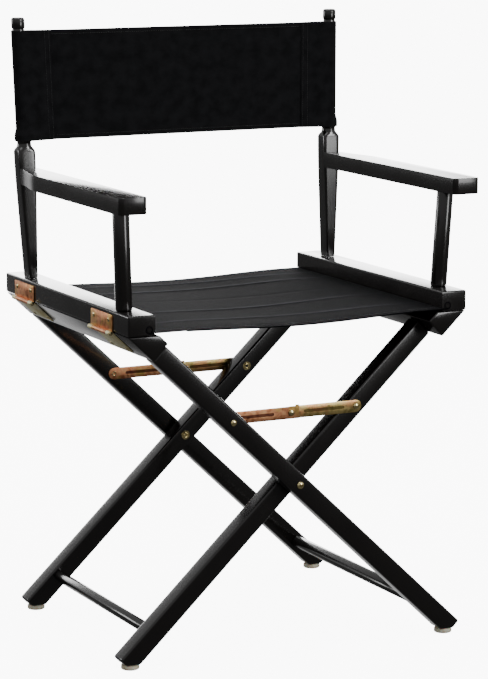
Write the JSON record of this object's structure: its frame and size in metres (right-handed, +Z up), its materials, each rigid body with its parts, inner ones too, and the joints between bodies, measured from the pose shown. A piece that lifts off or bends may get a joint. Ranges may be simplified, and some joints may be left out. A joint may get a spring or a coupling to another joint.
{
  "type": "director chair",
  "caption": "Folding director's chair: crossed wooden legs on hinged side frames, arm posts, steel braces, and a canvas seat and back.",
  "frame": {"origin": "on the floor, under the middle of the open chair's bounding box", "axes": "+Z up; +X to the right as seen from in front of the chair; +Y from the chair's front to its back"},
  "size_m": [0.536, 0.4376, 0.851],
  "materials": {
    "lacquer": "black semi-gloss lacquer",
    "canvas": "black plain-weave canvas",
    "nylon": "cream moulded plastic",
    "birch": "bare dowel",
    "copper_zinc": "passivated zinc, copper tint",
    "olive_zinc": "passivated zinc, olive tint",
    "pale_zinc": "passivated zinc, pale yellow tint",
    "brass": "brass-plated steel, satin"
  },
  "bodies": {
    "outer_frame": {"left_leg_rail": "lacquer", "right_stretcher": "lacquer", "outer_front_leg": "lacquer", "outer_front_glide": "nylon", "left_front_hinge_lower_leaf": "pale_zinc", "left_front_hinge_pin": "brass", "outer_rear_leg": "lacquer", "outer_rear_glide": "nylon", "left_rear_hinge_lower_leaf": "pale_zinc", "left_rear_hinge_pin": "brass", "front_brace_outer_rivet": "brass", "rear_brace_outer_rivet": "brass", "front_pivot_rivet": "brass", "front_pivot_washer": "brass", "front_pivot_spacer": "brass", "rear_pivot_rivet": "brass", "rear_pivot_washer": "brass", "rear_pivot_spacer": "brass"},
    "inner_frame": {"right_leg_rail": "lacquer", "left_stretcher": "lacquer", "inner_front_leg": "lacquer", "inner_front_glide": "nylon", "right_front_hinge_lower_leaf": "pale_zinc", "right_front_hinge_pin": "brass", "inner_rear_leg": "lacquer", "inner_rear_glide": "nylon", "right_rear_hinge_lower_leaf": "pale_zinc", "right_rear_hinge_pin": "brass", "front_brace_inner_rivet": "brass", "rear_brace_inner_rivet": "brass"},
    "left_side": {"left_seat_rail": "lacquer", "left_front_post": "lacquer", "left_rear_post": "lacquer", "left_armrest": "lacquer", "left_seat_dowel": "birch", "left_front_hinge_upper_leaf": "copper_zinc", "left_rear_hinge_upper_leaf": "copper_zinc", "left_front_hinge_screw_1": "brass", "left_front_hinge_screw_2": "brass", "left_rear_hinge_screw_1": "brass", "left_rear_hinge_screw_2": "brass", "seat_canvas": "canvas", "back_canvas": "canvas"},
    "right_side": {"right_seat_rail": "lacquer", "right_front_post": "lacquer", "right_rear_post": "lacquer", "right_armrest": "lacquer", "right_seat_dowel": "birch", "right_front_hinge_upper_leaf": "copper_zinc", "right_rear_hinge_upper_leaf": "copper_zinc", "right_front_hinge_screw_1": "brass", "right_front_hinge_screw_2": "brass", "right_rear_hinge_screw_1": "brass", "right_rear_hinge_screw_2": "brass"},
    "front_brace_outer": {"front_brace_outer_link": "copper_zinc", "front_brace_middle_rivet": "brass"},
    "front_brace_inner": {"front_brace_inner_link": "olive_zinc"},
    "rear_brace_outer": {"rear_brace_outer_link": "copper_zinc", "rear_brace_middle_rivet": "brass"},
    "rear_brace_inner": {"rear_brace_inner_link": "olive_zinc"}
  },
  "joints": [
    {"name": "fold", "type": "hinge", "parent": "outer_frame", "child": "inner_frame", "pos_m": [0, 0.00375, 0.237], "axis": [0, -1, 0], "range_deg": [0, 74.47], "deforming": ["seat_canvas", "back_canvas"]},
    {"name": "left_hinge", "type": "hinge", "parent": "outer_frame", "child": "left_side", "pos_m": [-0.2569, 0.00375, 0.45704], "axis": [0, -1, 0], "range_deg": [0, 37.24]},
    {"name": "right_hinge", "type": "hinge", "parent": "inner_frame", "child": "right_side", "pos_m": [0.2569, 0.00375, 0.45704], "axis": [0, 1, 0], "range_deg": [0, 37.24]},
    {"name": "front_brace_outer_pivot", "type": "hinge", "parent": "outer_frame", "child": "front_brace_outer", "pos_m": [-0.10019, -0.19375, 0.3319], "axis": [0, -1, 0], "range_deg": [0, 114.35]},
    {"name": "front_brace_inner_pivot", "type": "hinge", "parent": "inner_frame", "child": "front_brace_inner", "pos_m": [0.10019, -0.16305, 0.3319], "axis": [0, 1, 0], "range_deg": [0, 114.35]},
    {"name": "rear_brace_outer_pivot", "type": "hinge", "parent": "outer_frame", "child": "rear_brace_outer", "pos_m": [-0.10019, 0.20125, 0.3319], "axis": [0, -1, 0], "range_deg": [0, 114.35]},
    {"name": "rear_brace_inner_pivot", "type": "hinge", "parent": "inner_frame", "child": "rear_brace_inner", "pos_m": [0.10019, 0.17055, 0.3319], "axis": [0, 1, 0], "range_deg": [0, 114.35]}
  ],
  "couplings": [
    {"joint": "left_hinge", "follows": "fold", "ratio": 0.5},
    {"joint": "right_hinge", "follows": "fold", "ratio": 0.5},
    {"joint": "front_brace_outer_pivot", "follows": "fold", "ratio": 1.5355},
    {"joint": "front_brace_inner_pivot", "follows": "fold", "ratio": 1.5355},
    {"joint": "rear_brace_outer_pivot", "follows": "fold", "ratio": 1.5355},
    {"joint": "rear_brace_inner_pivot", "follows": "fold", "ratio": 1.5355}
  ]
}
